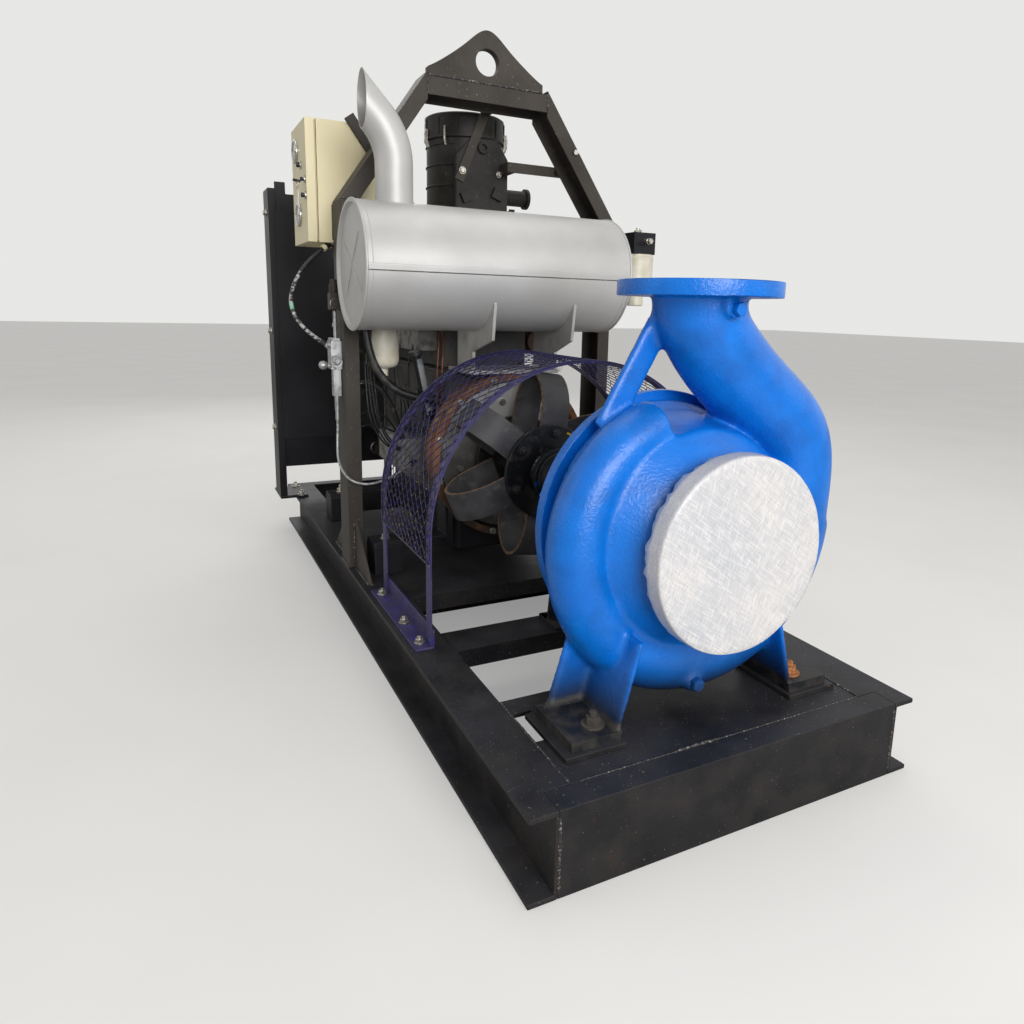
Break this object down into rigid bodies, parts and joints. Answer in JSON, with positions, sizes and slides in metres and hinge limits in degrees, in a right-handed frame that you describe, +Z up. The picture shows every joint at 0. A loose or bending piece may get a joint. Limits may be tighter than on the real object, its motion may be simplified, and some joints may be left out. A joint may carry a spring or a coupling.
{
  "type": "skid-mounted diesel engine pump set",
  "caption": "End-suction centrifugal pump driven by a diesel engine through a coupling, on a steel skid with lifting frame, silencer, guard, control panel and radiator.",
  "frame": {"origin": "centre of the skid's underside, on the bottom flange of the first engine bearer at mid length", "axes": "+Y along the skid from the pump's suction end to the radiator, +Z up, +X to the right seen from the suction end"},
  "size_m": [1.0139, 2.24, 1.594],
  "materials": {
    "skid_black": "brushed-on black paint, worn and dusty",
    "pump_blue": "glossy blue enamel over rough casting",
    "stretch_film": "white stretch film with fine wrinkles",
    "bare_steel": "machined steel, lightly rusted",
    "hub_black": "blacked cast iron",
    "strap_rubber": "dusty ply rubber",
    "housing_primer": "tan primer, brown with rust below",
    "engine_grey": "grey engine enamel",
    "engine_aluminium": "as-cast aluminium",
    "heat_silver": "silver heat paint",
    "frame_black": "black paint with dust",
    "panel_beige": "beige textured powder coat",
    "gauge_black": "black gauges and switches",
    "guard_indigo": "indigo-black paint on expanded metal",
    "core_aluminium": "finned core",
    "filter_black": "black can",
    "filter_white": "cream-white enamelled can",
    "belt_rubber": "black ribbed belt",
    "hose_rubber": "smooth black hose",
    "manifold_iron": "heat-browned casting",
    "cable_grey": "light grey corrugated sleeve",
    "cable_steel": "silver wound control cable",
    "fan_plastic": "black moulded fan"
  },
  "bodies": {
    "rotor": {"pump_shaft": "bare_steel", "coupling_front_hub": "hub_black", "coupling_straps": "strap_rubber", "coupling_rear_hub": "hub_black", "flywheel": "bare_steel"},
    "panel_door": {"panel_door": "panel_beige", "panel_gauges": "gauge_black"},
    "root": {"air_filter": "filter_black", "alternator": "engine_aluminium", "arms": "frame_black", "bearing_bracket": "pump_blue", "bracket_support": "pump_blue", "casing_cover": "pump_blue", "cross_members": "skid_black", "cylinder_head": "engine_grey", "decks": "skid_black", "end_channels": "skid_black", "engine_block": "engine_grey", "engine_fittings": "frame_black", "engine_mounts": "frame_black", "exhaust_manifold": "manifold_iron", "exhaust_outlet": "heat_silver", "fan_belt": "belt_rubber", "fan_shroud": "frame_black", "filter_bars": "frame_black", "filter_heads": "frame_black", "flywheel_housing": "housing_primer", "foot_pads": "skid_black", "fuel_filters": "filter_white", "guard_feet": "skid_black", "guard_hoops": "guard_indigo", "guard_mesh": "guard_indigo", "injection_pump": "engine_aluminium", "intake_duct": "hose_rubber", "intake_manifold": "engine_aluminium", "large_hose": "hose_rubber", "lifting_beam": "frame_black", "oil_pan": "frame_black", "panel_box": "panel_beige", "panel_brackets": "frame_black", "panel_cable": "cable_grey", "posts": "frame_black", "pump_casing": "pump_blue", "radiator_channels": "frame_black", "radiator_core": "core_aluminium", "radiator_fan": "fan_plastic", "radiator_hoses": "hose_rubber", "radiator_tanks": "frame_black", "rails": "skid_black", "silencer_brackets": "heat_silver", "silencer_ends": "heat_silver", "silencer_shell": "heat_silver", "small_hose": "hose_rubber", "starter_motor": "frame_black", "suction_film": "stretch_film", "throttle_actuator": "bare_steel", "throttle_cable": "cable_steel", "timing_case": "engine_aluminium", "valve_cover": "engine_grey"}
  },
  "joints": [
    {"name": "rotor_spin", "type": "hinge", "parent": "root", "child": "rotor", "pos_m": [0, -0.3, 0.475], "axis": [0, 1, 0], "continuous": true},
    {"name": "panel_door_hinge", "type": "hinge", "parent": "root", "child": "panel_door", "pos_m": [-0.4445, 0.362, 1.188], "axis": [0, 0, -1], "range_deg": [0, 110]}
  ]
}
